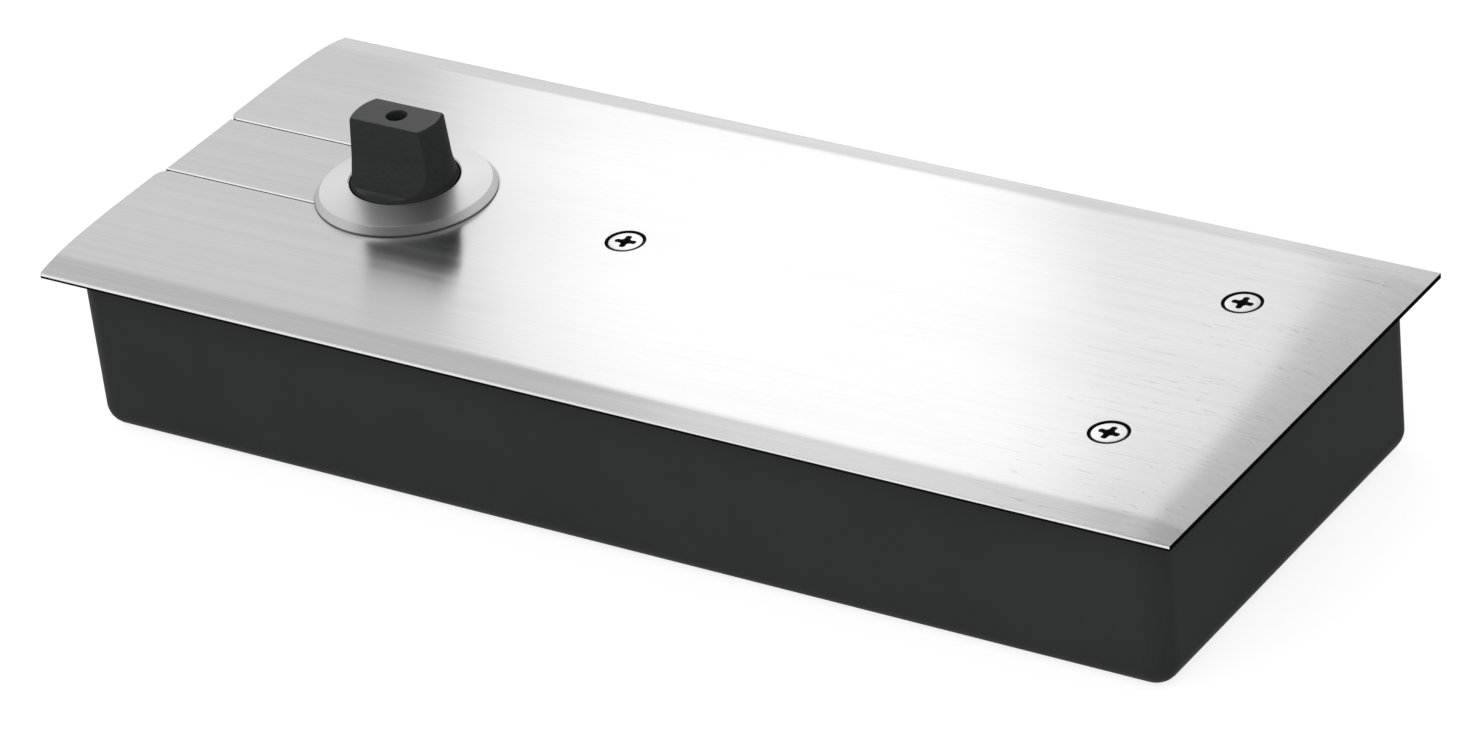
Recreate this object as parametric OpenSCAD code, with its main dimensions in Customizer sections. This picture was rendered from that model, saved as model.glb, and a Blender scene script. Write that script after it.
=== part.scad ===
// Floor spring for a double-action door, drawn at rest with the door shut.
// Lengths are in millimetres. X runs along the cover, Y across it and Z up.
// The origin is the middle of the case's underside.

/* [Case] */
// Length of the case at its top
case_l = 294.2; // [280:0.1:300]
// Width of the case at its top
case_w = 117.5; // [112:0.1:122]
// Height of the case's top edge
case_h = 43.2; // [42.8:0.1:43.4]
// Thickness of the case's walls and floor
case_wall = 2; // [1.5:0.1:2.4]
// Radius of the upright corners
case_corner_r = 6.3; // [5:0.1:8]
// Radius along the bottom edges
case_edge_r = 5.9; // [4:0.1:7]
// Lean of the walls, in degrees
case_draft = 0.65; // [0.3:0.05:1.2]

/* [Cover] */
// Length of the cover plate
cover_l = 306; // [302:0.5:314]
// Width of the cover plate
cover_w = 127; // [124:0.5:132]
// Thickness of the cover's sheet
cover_t = 1.3; // [1:0.1:1.5]
// Height of the cover's lowest edge, on its upper side
rim_z = 43.8; // [43.6:0.1:44.2]
// How far the crown stands above that edge
crown_h = 2.6; // [1.8:0.05:2.9]
// How fast the edge rises to the crown
crown_run = 9.5; // [7:0.5:10]
// Width of the slot that lets the cover off round the spindle
slot_w = 27.6; // [27:0.1:28.4]
// Rounding of the slot's two corners at the cover's end
slot_corner_r = 3; // [2:0.5:5]
// Gap on each side of the strip in the slot
slot_gap = 0.3; // [0.15:0.05:0.5]
// How much shorter than the cover the strip is
strip_short = 1; // [0.5:0.1:2]
// Width of the strip's backing under the cover
strip_back_w = 34; // [30:0.5:36]
// Outer radius of the ring at its foot
ring_r = 22.05; // [21.6:0.05:24]
// Height of the ring's outer edge above the crown
ring_edge_h = 2.2; // [1.8:0.1:3]
// How far the ring's bevel runs in
ring_bevel = 1.3; // [0.8:0.1:1.8]
// Height of the ring's inner edge above its outer edge
ring_rise = 1.85; // [0.6:0.05:2.2]
// Radius of the cover's hole under the ring
ring_hole_r = 17; // [16:0.1:18]
// Distance of the middle screw from the spindle
mid_screw_in = 62.4; // [56:0.1:70]
// Distance of the pair of screws from the case's far end
pair_screw_in = 27.4; // [26:0.1:30]
// Distance of each of the pair from the middle line
pair_screw_y = 30.7; // [28:0.1:33]
// Radius of the cover screws' heads
screw_head_r = 4.45; // [4.2:0.05:4.8]
// Gap round the screws' heads in the cover
screw_sink_gap = 0.5; // [0.3:0.05:0.6]
// Radius of the cover screws' threads
screw_r = 2.5; // [2:0.1:2.6]

/* [Spindle] */
// Distance of the spindle from the case's near end
spindle_in = 56.8; // [55:0.1:59]
// Height of the spindle's top
spindle_top = 66.9; // [62:0.1:72]
// Half length of the drive head at its top
head_half_l = 11.35; // [10:0.05:11.6]
// Bevel round the ends of the head's top
head_bevel = 0.5; // [0.2:0.1:0.8]
// Lean of the drive head's round ends, in degrees
head_lean = 4.3; // [2:0.1:5]
// Thickness of the drive head across its flats
head_t = 10.7; // [9:0.1:13]
// Radius in which the flats run out on the collar
head_fillet = 7; // [3:0.1:8]
// Radius of the threaded hole in the head
head_hole_r = 2.5; // [2:0.1:3.2]
// Depth of the threaded hole
head_hole_deep = 16; // [10:0.5:20]
// Radius of the collar inside the ring
collar_r = 13.2; // [12.9:0.05:13.4]
// Gap between the collar and the ring
collar_gap = 0.3; // [0.25:0.05:0.5]
// Radius of the journal in the upper bearing
journal_r = 11; // [10.4:0.1:11.4]
// Radius of the shaft in the cam
cam_seat_r = 10; // [9:0.1:10.3]
// Radius of the foot in the lower bearing
foot_r = 8; // [7:0.1:8.5]
// Gap round every turning or sliding fit
run_gap = 0.05; // [0.03:0.01:0.08]

/* [Cam] */
// Distance of the roller from the spindle at rest
roller_x = 20; // [19.5:0.1:20.8]
// Radius of the roller
roller_r = 9; // [8.4:0.1:9.4]
// Travel of the roller for each radian that the spindle turns
lift = 8.6; // [7.6:0.1:8.8]
// Angle over which the cam lifts, in degrees
lift_angle = 130; // [122:1:130]
// Thickness of the cam and the roller
cam_t = 11.8; // [10:0.1:12]
// Radius of the roller's pin
pin_r = 3.5; // [3:0.1:4]
// Side of the square key in the cam
key_s = 4; // [3:0.1:5]

/* [Body] */
// Room at each end of the iron body in the case
body_room = 13.1; // [8:0.1:16]
// Width of the iron body
body_w = 80; // [78:0.5:84]
// Height of the top of the iron body
body_top = 37; // [36.6:0.1:37.4]
// Radius of the chamber round the cam
chamber_r = 32.5; // [31.6:0.1:33]
// Height of the piston's middle line
bore_z = 20; // [19.8:0.1:20.2]
// Radius of the piston's bore
bore_r = 14; // [13.8:0.1:14.1]
// Distance of the ears' middle from the body's ends
ear_in = 41; // [36:0.5:46]
// Reach of the ears past the middle line
ear_y = 53; // [51.5:0.1:54]
// Thickness of each ear
ear_t = 8; // [6:0.5:10]
// Radius of the screws in the ears
ear_screw_r = 3; // [2.5:0.1:3.2]

/* [Lid] */
// Thickness of the lid
lid_t = 4; // [3.5:0.1:4.2]
// Thickness of the gasket under the lid
gasket_t = 0.5; // [0.3:0.1:0.7]
// Radius of the lid's boss
lid_boss_r = 19; // [18.4:0.1:20]
// Outer radius of the upper bearing
bearing_r = 16; // [15:0.1:16.5]
// Radius of the lid's screws
lid_screw_r = 2; // [1.6:0.1:2.3]

/* [Piston and springs] */
// Length of the piston without its fork
piston_l = 40; // [36:0.5:42]
// Travel of the spring's nut, from its place at rest
nut_travel = 7.5; // [5:0.1:8]
// Gap between the nut and the adjuster's collar at rest
nut_room = 4.1; // [2:0.1:5]
// Mean radius of the outer spring
spring_r = 10.9; // [10.6:0.1:11.2]
// Radius of the outer spring's wire
spring_wire = 2; // [1.6:0.1:2.2]
// Curls of the outer spring
spring_curls = 15; // [12:1:17]
// Mean radius of the inner spring
inner_r = 6.4; // [6.2:0.1:6.6]
// Radius of the inner spring's wire
inner_wire = 1; // [0.8:0.1:1.2]
// Curls of the inner spring
inner_curls = 24; // [18:1:28]
// Radius of the ball in the piston
ball_r = 3.4; // [3:0.1:3.8]
// Radius of the power adjuster's thread
adjuster_r = 4; // [3.5:0.1:4.3]
// Thickness of the spring's nut
nut_t = 6; // [5:0.5:7]
// Radius of the end plug
plug_r = 15.5; // [15:0.1:16]
// Length of the end plug
plug_l = 20; // [17:0.5:21]

/* [Valves] */
// Distance of both valves from the body's far end
valve_in = 26; // [25:0.1:27]
// Distance of each valve from the middle line
valve_y = 24; // [23.4:0.1:25]
// Radius of each valve
valve_r = 4; // [3.5:0.1:4.2]
// Radius of the oil ways
oil_r = 2; // [1.5:0.1:2.2]

/* [Hidden] */
$fn = 64;
eps = 0.01;

// Places along the case
body_l = case_l - 2 * (case_wall + body_room);
spindle_x = -case_l / 2 + spindle_in;
mid_screw_x = spindle_x + mid_screw_in;
pair_screw_x = case_l / 2 - pair_screw_in;
valve_x = body_l / 2 - valve_in;
ear_x = body_l / 2 - ear_in;

// Heights of the cover
crown_reach = 30;
function crown(u) = u <= 0 ? 0 : crown_h * (1 - exp(-min(u, crown_reach) / crown_run));
flat_z = rim_z + crown(crown_reach);
under_z = flat_z - cover_t;

// Heights in the body
body_z0 = case_wall;
cam_z0 = bore_z - cam_t / 2;
fork_gap = 0.4;
fork_half = 11.4;
pad_z = bore_z - fork_half - 0.6;
foot_gap = 0.3;
pocket_z = body_z0 + 1.2;
foot_bush_r = foot_r + 3;
lid_z0 = body_top + gasket_t;
lid_z1 = lid_z0 + lid_t;
boss_drop = 4.5;
boss_z0 = lid_z0 - boss_drop;
bearing_z1 = lid_z1 - 0.8;
collar_z0 = bearing_z1 + 0.3;
seal_h = 2;
seal_r = collar_r + 4;
ring_edge_z = flat_z + ring_edge_h;
ring_top_z = ring_edge_z + ring_rise;
collar_top = ring_top_z + 0.3;
runout_z = collar_top - 0.03;
head_base_r = min(collar_r - 0.6, head_half_l + (spindle_top - collar_top) * tan(head_lean));
chamber_z0 = bore_z - bore_r;

// Places along the piston's bore
roller_c = spindle_x + roller_x;
fork_x0 = roller_c - 8;
piston_x0 = roller_c + roller_r + 4.2;
piston_x1 = piston_x0 + piston_l;
fork_slot_x = roller_c + roller_r + 0.8;
plug_x1 = body_l / 2 - 2;
plug_x0 = plug_x1 - plug_l;
adjuster_collar_t = 2.5;
adjuster_collar_x = plug_x0 - 0.3 - adjuster_collar_t;
nut_x = adjuster_collar_x - nut_room - nut_t;
spring_l = nut_x - piston_x1 - 0.1;
adjuster_x0 = nut_x - nut_travel - 3.5;
way_z = bore_z - 2;
cross_z = bore_z + 4;
valve_foot = way_z - 3;
valve_head_z = body_top - 1;
ear_z0 = 10;
ear_z1 = ear_z0 + ear_t;
ear_half = 19;
ear_screw_dx = 9;
ear_screw_y = ear_y - 7;
ear_post_r = ear_screw_y - body_w / 2 - 0.4;
washer_t = 1.2;
post_r = 6;

// A rectangle with round corners, in the flat
module round_rect(l, w, r) {
    square([l - 2 * r, w], center = true);
    square([l, w - 2 * r], center = true);
    for (x = [-1, 1], y = [-1, 1])
        translate([x * (l / 2 - r), y * (w / 2 - r)]) circle(r);
}

// A round bar along X from x0 to x1 at the piston's height
module bar_x(r, x0, x1) {
    translate([x0, 0, bore_z]) rotate([0, 90, 0]) cylinder(h = x1 - x0, r = r);
}

// A round bar along Z
module bar_z(r, z0, z1, x = 0, y = 0) {
    translate([x, y, z0]) cylinder(h = z1 - z0, r = r);
}

// The cover's screws, each drawn by the child at its place
module at_cover_screws() {
    translate([mid_screw_x, 0, 0]) children();
    for (y = [-1, 1]) translate([pair_screw_x, y * pair_screw_y, 0]) children();
}

// The four ears, each drawn by the child mirrored to its corner
module at_ears() {
    for (mx = [0, 1], my = [0, 1])
        mirror([mx, 0, 0]) mirror([0, my, 0]) children();
}

// The lid's four corners
lid_x0 = -body_l / 2 + 2;
lid_x1 = spindle_x + (spindle_x - lid_x0);
lid_w = body_w - 3;
module at_lid_corners() {
    for (x = [lid_x0 + 5, lid_x1 - 5], y = [-1, 1])
        translate([x, y * (lid_w / 2 - 5), 0]) children();
}

// The case's outline, shrunk by the wall for its inside
module case_form(inset, z0, z1) {
    lean = tan(case_draft) * (case_h - case_edge_r);
    top_x = case_l / 2 - case_corner_r;
    top_y = case_w / 2 - case_corner_r;
    r_low = case_edge_r - inset;
    low_x = case_l / 2 - lean - case_edge_r;
    low_y = case_w / 2 - lean - case_edge_r;
    hull() {
        // a thin slab keeps the floor flat between the faceted corners
        translate([-low_x, -low_y, z0]) cube([2 * low_x, 2 * low_y, 0.1]);
        for (x = [-1, 1], y = [-1, 1]) {
            translate([x * low_x, y * low_y, z0 + r_low]) sphere(r_low, $fn = 32);
            translate([x * top_x, y * top_y, z1 - 0.1])
                cylinder(h = 0.1, r = case_corner_r - inset, $fn = 32);
        }
    }
}

module cement_box() {
    color([0.2, 0.2, 0.2]) difference() {
        union() {
            difference() {
                case_form(0, 0, case_h);
                case_form(case_wall, case_wall, case_h + 0.5);
            }
            at_ears() translate([ear_x + ear_screw_dx, ear_screw_y, case_wall / 2])
                cylinder(h = ear_z0 - case_wall / 2, r = ear_post_r);
        }
        at_ears() translate([ear_x + ear_screw_dx, ear_screw_y, case_wall + 1])
            cylinder(h = ear_z0, r = ear_screw_r);
    }
}

// The crowned form under the cover's skin: low at both long edges and at the far end
side_steps = 10;
function step_u(i) = crown_reach * pow(i / side_steps, 1.7);
module crown_form(grow, drop) {
    half = cover_w / 2;
    low = rim_z - cover_t - (drop > 0 ? 2 : 0);
    first = grow > 0 ? 0 : 1;
    intersection() {
        rotate([90, 0, 90]) translate([0, 0, -cover_l / 2 - grow])
            linear_extrude(cover_l + 2 * grow) polygon(concat(
                [[-half - grow, low], [half + grow, low], [half + grow, rim_z - drop]],
                [for (i = [first : side_steps])
                    [half - step_u(i), rim_z - drop + crown(step_u(i))]],
                [for (i = [side_steps : -1 : first])
                    [-half + step_u(i), rim_z - drop + crown(step_u(i))]],
                [[-half - grow, rim_z - drop]]));
        rotate([90, 0, 0]) translate([0, 0, -half - grow])
            linear_extrude(cover_w + 2 * grow) polygon(concat(
                [[-cover_l / 2 - grow, low - 1], [cover_l / 2 + grow, low - 1],
                    [cover_l / 2 + grow, rim_z - drop]],
                [for (i = [first : side_steps])
                    [cover_l / 2 - step_u(i), rim_z - drop + crown(step_u(i))]],
                [[-cover_l / 2 - grow, flat_z - drop]]));
    }
}

module cover_plate() {
    color([0.75, 0.75, 0.75]) difference() {
        crown_form(0, 0);
        crown_form(1, cover_t);
        // the slot and its two round corners at the end
        translate([-cover_l / 2 - 1, -slot_w / 2, rim_z - 5])
            cube([cover_l / 2 + 1 + spindle_x, slot_w, 12]);
        for (s = [-1, 1]) translate([-cover_l / 2, s * slot_w / 2, rim_z - 5])
            linear_extrude(12) difference() {
                translate([-1, s > 0 ? -1 : -slot_corner_r])
                    square([slot_corner_r + 1, slot_corner_r + 1]);
                translate([slot_corner_r, s * slot_corner_r]) circle(slot_corner_r);
            }
        bar_z(ring_hole_r, rim_z - 5, flat_z + 5, spindle_x);
        at_cover_screws() screw_sink(screw_sink_gap);
    }
}

// The space that a cover screw's head fills, with a gap round it
module screw_sink(gap) {
    translate([0, 0, flat_z - screw_head_r + screw_r])
        cylinder(h = screw_head_r - screw_r + eps, r1 = screw_r + gap, r2 = screw_head_r + gap + eps);
    translate([0, 0, flat_z - 6]) cylinder(h = 6, r = screw_r + gap);
}

module slot_strip() {
    end_x = -cover_l / 2 + strip_short;
    run = spindle_x - end_x;
    color([0.72, 0.72, 0.72]) union() {
        difference() {
            translate([end_x, -slot_w / 2 + slot_gap, under_z - eps])
                cube([run, slot_w - 2 * slot_gap, cover_t + eps]);
            bar_z(ring_hole_r, rim_z - 5, flat_z + 5, spindle_x);
        }
        difference() {
            translate([end_x, -strip_back_w / 2, case_h])
                cube([run, strip_back_w, under_z - case_h]);
            bar_z(lid_boss_r + 0.5, rim_z - 5, flat_z + 5, spindle_x);
        }
    }
}

module spindle_ring() {
    in_r = collar_r + collar_gap;
    color([0.7, 0.7, 0.7]) translate([spindle_x, 0, 0]) rotate_extrude() polygon([
        [in_r, under_z - 0.6], [ring_hole_r - 0.1, under_z - 0.6],
        [ring_hole_r - 0.1, flat_z], [ring_r, flat_z],
        [ring_r, flat_z + 0.4], [ring_r - ring_bevel + 0.1, ring_edge_z - 0.15],
        [ring_r - ring_bevel - 0.1, ring_edge_z], [in_r + 0.3, ring_top_z],
        [in_r, ring_top_z - 0.3]]);
}

module cover_screws() {
    color([0.65, 0.65, 0.65]) at_cover_screws() difference() {
        union() {
            translate([0, 0, flat_z - 0.1 - screw_head_r + screw_r])
                cylinder(h = screw_head_r - screw_r, r1 = screw_r, r2 = screw_head_r);
            bar_z(screw_r, flat_z - 9.6, flat_z - 1);
        }
        translate([0, 0, flat_z - 0.8]) for (a = [0, 90])
            rotate(a) cube([5.2, 1, 1.8], center = true);
    }
}

module closer_body() {
    color([0.35, 0.36, 0.37]) difference() {
        union() {
            translate([0, 0, body_z0]) linear_extrude(body_top - body_z0)
                round_rect(body_l, body_w, 8);
            at_ears() translate([ear_x - ear_half, body_w / 2 - 4, ear_z0])
                cube([2 * ear_half, ear_y - body_w / 2 + 4, ear_t]);
            at_cover_screws() bar_z(post_r, body_top - 1, under_z);
        }
        // the cam's chamber, with its pad for the lower bearing
        difference() {
            bar_z(chamber_r, chamber_z0, body_top + 1, spindle_x);
            bar_z(foot_bush_r + 2.5, chamber_z0 - 1, pad_z, spindle_x);
        }
        bar_z(foot_bush_r, pocket_z, pad_z + 1, spindle_x);
        // the bore, the plug's seat and the way of the nut's lug
        bar_x(bore_r, spindle_x + 20, plug_x0 + 1);
        bar_x(plug_r, plug_x0, body_l / 2 + 1);
        translate([nut_x - nut_travel - 2.5, -lug_half - run_gap, bore_z - lug_r - 0.3])
            cube([plug_x0 - nut_x + nut_travel + 2.5, 2 * (lug_half + run_gap), lug_r]);
        // both oil ways and the valves' bores
        for (s = [-1, 1]) {
            translate([spindle_x + 10, s * valve_y, way_z]) rotate([0, 90, 0])
                cylinder(h = body_l / 2 - spindle_x, r = oil_r);
            translate([body_l / 2 - 8, s * valve_y, way_z]) rotate([0, 90, 0])
                cylinder(h = 9, r = oil_r + 1);
            translate([valve_x, s * valve_y, cross_z]) rotate([s * 90, 0, 0])
                cylinder(h = valve_y - 8, r = oil_r);
            bar_z(valve_r, valve_foot - 1, body_top + 1, valve_x, s * valve_y);
        }
        // threads for the cover's, the lid's and the ears' screws
        at_cover_screws() {
            bar_z(screw_r, flat_z - 10.6, under_z + 1);
            screw_sink(0.15);
        }
        at_lid_corners() bar_z(lid_screw_r, body_top - 12, body_top + 1);
        at_ears() {
            bar_z(ear_screw_r + 0.4, ear_z0 - 1, ear_z1 + 1, ear_x + ear_screw_dx, ear_screw_y);
            bar_z(ear_screw_r, ear_z0 - 1, ear_z1 + 1, ear_x - ear_screw_dx, ear_screw_y);
        }
    }
}

module body_lid() {
    color([0.4, 0.41, 0.42]) difference() {
        union() {
            translate([(lid_x0 + lid_x1) / 2, 0, lid_z0]) linear_extrude(lid_t)
                round_rect(lid_x1 - lid_x0, lid_w, 6);
            bar_z(lid_boss_r, boss_z0, lid_z0 + 1, spindle_x);
            bar_z(lid_boss_r, lid_z1 - 1, lid_z1 + seal_h + 0.1, spindle_x);
        }
        bar_z(bearing_r, boss_z0 - 1, bearing_z1, spindle_x);
        bar_z(collar_r + 0.4, boss_z0, lid_z1 + 1, spindle_x);
        bar_z(seal_r, lid_z1, lid_z1 + seal_h + 1, spindle_x);
        at_lid_corners() bar_z(lid_screw_r + 0.3, lid_z0 - 1, lid_z1 + 1);
    }
}

module lid_gasket() {
    color([0.5, 0.42, 0.3]) translate([0, 0, body_top]) linear_extrude(gasket_t) difference() {
        translate([(lid_x0 + lid_x1) / 2, 0]) round_rect(lid_x1 - lid_x0, lid_w, 6);
        translate([spindle_x, 0]) circle(chamber_r);
        at_lid_corners() circle(lid_screw_r + 0.3);
    }
}

module lid_screws() {
    color([0.6, 0.6, 0.62]) at_lid_corners() difference() {
        union() {
            bar_z(lid_screw_r, body_top - 10, lid_z1);
            bar_z(lid_screw_r * 1.8, lid_z1, lid_z1 + 1.9);
        }
        translate([0, 0, lid_z1 + 1.9]) for (a = [0, 90])
            rotate(a) cube([4, 0.8, 2], center = true);
    }
}

module upper_bearing() {
    color([0.75, 0.6, 0.3]) difference() {
        bar_z(bearing_r, boss_z0 + 0.2, bearing_z1, spindle_x);
        bar_z(journal_r + run_gap, boss_z0, bearing_z1 + 1, spindle_x);
    }
}

module lower_bearing() {
    color([0.75, 0.6, 0.3]) difference() {
        bar_z(foot_bush_r, pocket_z, pad_z, spindle_x);
        bar_z(foot_r + run_gap, pocket_z - 1, pad_z + 1, spindle_x);
    }
}

module spindle_seal() {
    color([0.1, 0.1, 0.1]) difference() {
        bar_z(seal_r, lid_z1, lid_z1 + seal_h, spindle_x);
        bar_z(collar_r + run_gap, lid_z1 - 1, lid_z1 + seal_h + 1, spindle_x);
    }
}

module spindle() {
    color([0.3, 0.3, 0.32]) translate([spindle_x, 0, 0]) difference() {
        union() {
            bar_z(foot_r, pocket_z + foot_gap, cam_z0);
            bar_z(cam_seat_r, cam_z0, boss_z0 - 0.6);
            bar_z(journal_r, boss_z0 - 0.6, collar_z0);
            rotate_extrude() polygon([
                [0, collar_z0], [collar_r, collar_z0], [collar_r, collar_top - 0.8],
                [collar_r - 0.25, collar_top - 0.25], [collar_r - 0.8, collar_top],
                [0, collar_top]]);
            // the head: a turned cone, then milled flat on two sides
            intersection() {
                rotate_extrude() polygon([
                    [0, collar_top - eps], [head_base_r, collar_top - eps],
                    [head_half_l, spindle_top - head_bevel],
                    [head_half_l - head_bevel, spindle_top], [0, spindle_top]]);
                rotate([90, 0, 90]) translate([0, 0, -20]) linear_extrude(40) difference() {
                    translate([-20, collar_top - 1]) square([40, spindle_top - collar_top + 2]);
                    for (s = [-1, 1]) {
                        translate([s * (head_t / 2 + head_fillet), runout_z + head_fillet])
                            circle(head_fillet);
                        translate([s > 0 ? head_t / 2 : -20, runout_z + head_fillet])
                            square([20 - head_t / 2, 30]);
                        translate([s > 0 ? head_t / 2 + head_fillet : -20, runout_z])
                            square([20 - head_t / 2 - head_fillet, 30]);
                    }
                }
            }
        }
        bar_z(head_hole_r, spindle_top - head_hole_deep, spindle_top + 1);
        translate([0, 0, spindle_top - 0.2])
            cylinder(h = 0.2 + eps, r1 = head_hole_r, r2 = head_hole_r + 0.2);
        // the keyway and the clip's groove
        translate([-cam_seat_r - 1, -key_s / 2, cam_z0])
            cube([1 + key_s / 2, key_s, cam_t]);
        translate([0, 0, cam_z0 - 1.1]) difference() {
            cylinder(h = 1, r = foot_r + 1);
            translate([0, 0, -1]) cylinder(h = 3, r = foot_r - 0.8);
        }
    }
}

// The roller's middle for a turn of a degrees, as seen from the cam
function pitch(a) = let(r = roller_x + lift * a * PI / 180) [r * cos(a), -r * sin(a)];
// The cam's flank: the roller's middle moved in by its radius along the path's normal
function flank(a) =
    let(
        r = roller_x + lift * a * PI / 180,
        t = [lift * cos(a) - r * sin(a), -lift * sin(a) - r * cos(a)],
        n = t / norm(t)
    ) pitch(a) + (roller_r + run_gap) * [n[1], -n[0]];
function mirrored(p) = [p[0], -p[1]];
cam_steps = 50;

module heart_cam() {
    tip = norm(flank(lift_angle));
    low = atan2(flank(lift_angle)[1], flank(lift_angle)[0]);
    color([0.45, 0.45, 0.47]) translate([spindle_x, 0, cam_z0]) difference() {
        linear_extrude(cam_t) polygon(concat(
            [for (i = [-9 : 9]) notch_point(i / 9)],
            [for (i = [1 : cam_steps - 1]) flank(lift_angle * i / cam_steps)],
            [for (i = [0 : 20]) let(a = low - i * (360 + 2 * low) / 20)
                tip * [cos(a), sin(a)]],
            [for (i = [cam_steps - 1 : -1 : 1])
                mirrored(flank(lift_angle * i / cam_steps))]));
        translate([0, 0, -1]) cylinder(h = cam_t + 2, r = cam_seat_r);
        translate([-cam_seat_r - key_s / 2, -key_s / 2, -1]) cube([key_s, key_s, cam_t + 2]);
    }
}

// A point of the notch: s is -1 at the flank above, 0 in the middle and 1 at the one below
function notch_point(s) =
    let(spread = 180 - abs(atan2(flank(0)[1], flank(0)[0] - roller_x)), a = 180 + s * spread)
    [roller_x, 0] + (roller_r + run_gap) * [cos(a), sin(a)];

module cam_key() {
    color([0.55, 0.55, 0.57])
        translate([spindle_x - cam_seat_r - key_s / 2, -key_s / 2, cam_z0]) cube([key_s, key_s, cam_t]);
}

module cam_clip() {
    color([0.5, 0.5, 0.52]) difference() {
        bar_z(cam_seat_r + 0.8, cam_z0 - 1, cam_z0 - 0.1, spindle_x);
        bar_z(foot_r - 0.8, cam_z0 - 2, cam_z0 + 1, spindle_x);
        translate([spindle_x - 20, -foot_r + 2, cam_z0 - 2]) cube([20, 2 * foot_r - 4, 3]);
    }
}

module cam_roller() {
    color([0.7, 0.7, 0.72]) difference() {
        bar_z(roller_r, cam_z0, cam_z0 + cam_t, roller_c);
        bar_z(pin_r + run_gap, cam_z0 - 1, cam_z0 + cam_t + 1, roller_c);
    }
}

module roller_pin() {
    color([0.6, 0.6, 0.62]) bar_z(pin_r, bore_z - fork_half, bore_z + fork_half, roller_c);
}

module piston() {
    color([0.55, 0.56, 0.58]) difference() {
        intersection() {
            bar_x(bore_r - run_gap, fork_x0, piston_x1);
            union() {
                translate([piston_x0, -20, 0]) cube([piston_l, 40, 60]);
                translate([fork_x0, -20, bore_z - fork_half])
                    cube([piston_x0 - fork_x0 + 1, 40, 2 * fork_half]);
            }
        }
        // the fork's slot for the cam and the roller, and the pin's hole
        translate([fork_x0 - 1, -20, cam_z0 - fork_gap])
            cube([fork_slot_x - fork_x0 + 1, 40, cam_t + 2 * fork_gap]);
        bar_z(pin_r, 0, 60, roller_c);
        // the seal's groove and the way through the check valve
        difference() {
            bar_x(bore_r + 1, piston_x1 - 12, piston_x1 - 8);
            bar_x(bore_r - 2.2, piston_x1 - 13, piston_x1 - 7);
        }
        bar_x(ball_r + 0.8, piston_x1 - 14, piston_x1 + 1);
        bar_x(ball_r * 0.6, fork_slot_x - 1, piston_x1);
    }
}

module piston_seal() {
    color([0.15, 0.15, 0.15]) difference() {
        bar_x(bore_r - run_gap, piston_x1 - 12, piston_x1 - 8);
        bar_x(bore_r - 2.2, piston_x1 - 13, piston_x1 - 7);
    }
}

// The ball rests on the rim of the way through the piston
module check_ball() {
    seat = sqrt(ball_r * ball_r - pow(ball_r * 0.6, 2));
    color([0.8, 0.8, 0.82]) translate([piston_x1 - 14 + seat + 0.02, 0, bore_z]) sphere(ball_r);
}

module ball_retainer() {
    color([0.6, 0.6, 0.62]) difference() {
        bar_x(ball_r + 0.8, piston_x1 - 4, piston_x1 - 2);
        bar_x(ball_r * 0.6, piston_x1 - 5, piston_x1 - 1);
    }
}

// The middle line of a coil along X, eight points to a curl
function coil_at(i, r, wire, len, curls) =
    let(a = 45 * i) [wire + (len - 2 * wire) * i / (8 * curls), r * cos(a), r * sin(a)];
function coil_ring(i, r, wire, len, curls) =
    let(
        a = 45 * i,
        p = coil_at(i, r, wire, len, curls),
        go = [(len - 2 * wire) / (2 * PI * curls), -r * sin(a), r * cos(a)],
        t = go / norm(go),
        n = [0, cos(a), sin(a)],
        b = cross(t, n)
    ) [for (k = [0 : 5]) p + wire * (cos(60 * k) * n + sin(60 * k) * b)];
function flat_list(lists) = [for (l = lists) each l];
// The least gap between one part of a coil and the curls after it
function coil_gap(r, wire, len, curls) = min([
    for (i = [0 : 15], j = [i + 6 : i + 12])
        norm(coil_at(i, r, wire, len, curls) - coil_at(j, r, wire, len, curls))
]) - 2 * wire;

module coil(r, wire, len, curls) {
    n = 8 * curls;
    polyhedron(
        points = flat_list([for (i = [0 : n]) coil_ring(i, r, wire, len, curls)]),
        faces = concat(
            [for (k = [1 : 4]) [0, k, k + 1]],
            [for (i = [0 : n - 1], k = [0 : 5])
                [6 * i + k, 6 * (i + 1) + k, 6 * i + (k + 1) % 6]],
            [for (i = [0 : n - 1], k = [0 : 5])
                [6 * (i + 1) + k, 6 * (i + 1) + (k + 1) % 6, 6 * i + (k + 1) % 6]],
            [for (k = [1 : 4]) [6 * n, 6 * n + k + 1, 6 * n + k]]),
        convexity = 10);
}

module outer_spring() {
    color([0.3, 0.32, 0.36]) translate([nut_x - spring_l, 0, bore_z])
        coil(spring_r, spring_wire, spring_l, spring_curls);
}

module inner_spring() {
    color([0.35, 0.37, 0.4]) translate([nut_x - spring_l, 0, bore_z])
        coil(inner_r, inner_wire, spring_l, inner_curls);
}
echo(outer_spring_gap = coil_gap(spring_r, spring_wire, spring_l, spring_curls));
echo(inner_spring_gap = coil_gap(inner_r, inner_wire, spring_l, inner_curls));
echo(gap_between_springs = spring_r * cos(22.5) - spring_wire - inner_r - inner_wire);

lug_r = bore_r + 2;
lug_half = 2;
module spring_nut() {
    color([0.5, 0.5, 0.52]) difference() {
        union() {
            bar_x(bore_r - 0.4, nut_x, nut_x + nut_t);
            translate([nut_x, -lug_half, bore_z - lug_r]) cube([nut_t, 2 * lug_half, lug_r]);
        }
        bar_x(adjuster_r + run_gap, nut_x - 1, nut_x + nut_t + 1);
    }
}

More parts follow.
